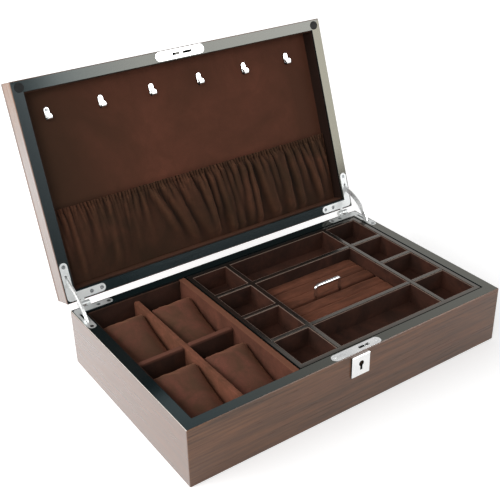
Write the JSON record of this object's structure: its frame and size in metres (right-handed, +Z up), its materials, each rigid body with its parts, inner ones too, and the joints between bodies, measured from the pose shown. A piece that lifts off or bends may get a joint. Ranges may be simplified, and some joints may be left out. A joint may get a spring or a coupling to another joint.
{
  "type": "watch and jewellery box",
  "caption": "Lift-top wooden watch and jewellery box with cushioned watch cells and a divided lift-out tray, shown with its lid open.",
  "frame": {"origin": "middle of the case's underside", "axes": "+X along the front to the tray side, +Y from the front to the hinges, +Z up; the lid is open at rest"},
  "size_m": [0.355, 0.3115, 0.2642],
  "materials": {
    "walnut": "glossy walnut veneer",
    "base_board": "plain",
    "black_lacquer": "gloss lacquer",
    "suede": "brushed",
    "cushion_suede": "brushed",
    "pocket_cloth": "satin",
    "base_felt": "felt",
    "chrome": "polished",
    "steel": "plain",
    "bumper_rubber": "matte"
  },
  "bodies": {
    "case": {"case_front_wall": "walnut", "case_back_wall": "walnut", "case_left_wall": "walnut", "case_right_wall": "walnut", "case_bottom_board": "base_board", "base_felt": "base_felt", "compartment_divider": "suede", "storage_lining_boards": "suede", "storage_floor_pad": "suede", "watch_side_linings": "suede", "watch_floor_pad": "suede", "long_partition": "suede", "cross_partitions": "suede", "case_hinge_leaf_left": "chrome", "case_hinge_leaf_right": "chrome", "case_hinge_screws": "chrome", "lock_case": "chrome", "lock_cover": "chrome", "lock_key_post": "chrome", "lock_screws": "chrome", "keyhole_plate": "chrome"},
    "lid": {"lid_front_rail": "walnut", "lid_back_rail": "walnut", "lid_left_rail": "walnut", "lid_right_rail": "walnut", "lid_top_panel": "walnut", "lid_lining_board": "suede", "lid_side_linings": "suede", "lid_pocket": "pocket_cloth", "chain_hooks": "chrome", "hook_screws": "chrome", "lid_hinge_leaf_left": "chrome", "lid_hinge_leaf_right": "chrome", "hinge_pin_left": "steel", "hinge_pin_right": "steel", "lid_hinge_screws": "chrome", "stay_rivets": "chrome", "catch_plate": "chrome", "catch_screws": "chrome", "lid_bumpers": "bumper_rubber"},
    "stay_left": {"stay_left": "chrome"},
    "stay_right": {"stay_right": "chrome"},
    "tray": {"tray_front_wall": "black_lacquer", "tray_back_wall": "black_lacquer", "tray_left_wall": "black_lacquer", "tray_right_wall": "black_lacquer", "tray_floor": "black_lacquer", "tray_column_divider_left": "black_lacquer", "tray_column_divider_right": "black_lacquer", "tray_cross_dividers": "black_lacquer", "tray_cell_liners": "suede", "ring_rolls": "suede", "tray_handle": "chrome"},
    "cushion_front_left": {"watch_cushion_front_left": "cushion_suede"},
    "cushion_front_right": {"watch_cushion_front_right": "cushion_suede"},
    "cushion_back_left": {"watch_cushion_back_left": "cushion_suede"},
    "cushion_back_right": {"watch_cushion_back_right": "cushion_suede"},
    "lock_hook": {"lock_hook": "steel"}
  },
  "joints": [
    {"name": "lid_hinge", "type": "hinge", "parent": "case", "child": "lid", "pos_m": [0, 0.11015, 0.0593], "axis": [-1, 0, 0], "range_deg": [-108.7, 0]},
    {"name": "tray_lift", "type": "slide", "parent": "case", "child": "tray", "axis": [0, 0, 1], "range_m": [0, 0.09]},
    {"name": "cushion_lift_front_left", "type": "slide", "parent": "case", "child": "cushion_front_left", "axis": [0, 0, 1], "range_m": [0, 0.07]},
    {"name": "cushion_lift_front_right", "type": "slide", "parent": "case", "child": "cushion_front_right", "axis": [0, 0, 1], "range_m": [0, 0.07]},
    {"name": "cushion_lift_back_left", "type": "slide", "parent": "case", "child": "cushion_back_left", "axis": [0, 0, 1], "range_m": [0, 0.07]},
    {"name": "cushion_lift_back_right", "type": "slide", "parent": "case", "child": "cushion_back_right", "axis": [0, 0, 1], "range_m": [0, 0.07]},
    {"name": "stay_turn_left", "type": "hinge", "parent": "lid", "child": "stay_left", "pos_m": [-0.172, 0.12212, 0.08375], "axis": [-1, 0, 0], "range_deg": [0, 38.8]},
    {"name": "stay_turn_right", "type": "hinge", "parent": "lid", "child": "stay_right", "pos_m": [0.172, 0.12212, 0.08375], "axis": [-1, 0, 0], "range_deg": [0, 38.8]},
    {"name": "lock_turn", "type": "hinge", "parent": "case", "child": "lock_hook", "pos_m": [0, -0.101, 0.048], "axis": [0, -1, 0], "range_deg": [0, 67]}
  ],
  "couplings": [
    {"joint": "stay_turn_left", "follows": "lid_hinge", "ratio": -0.356},
    {"joint": "stay_turn_right", "follows": "lid_hinge", "ratio": -0.356}
  ]
}
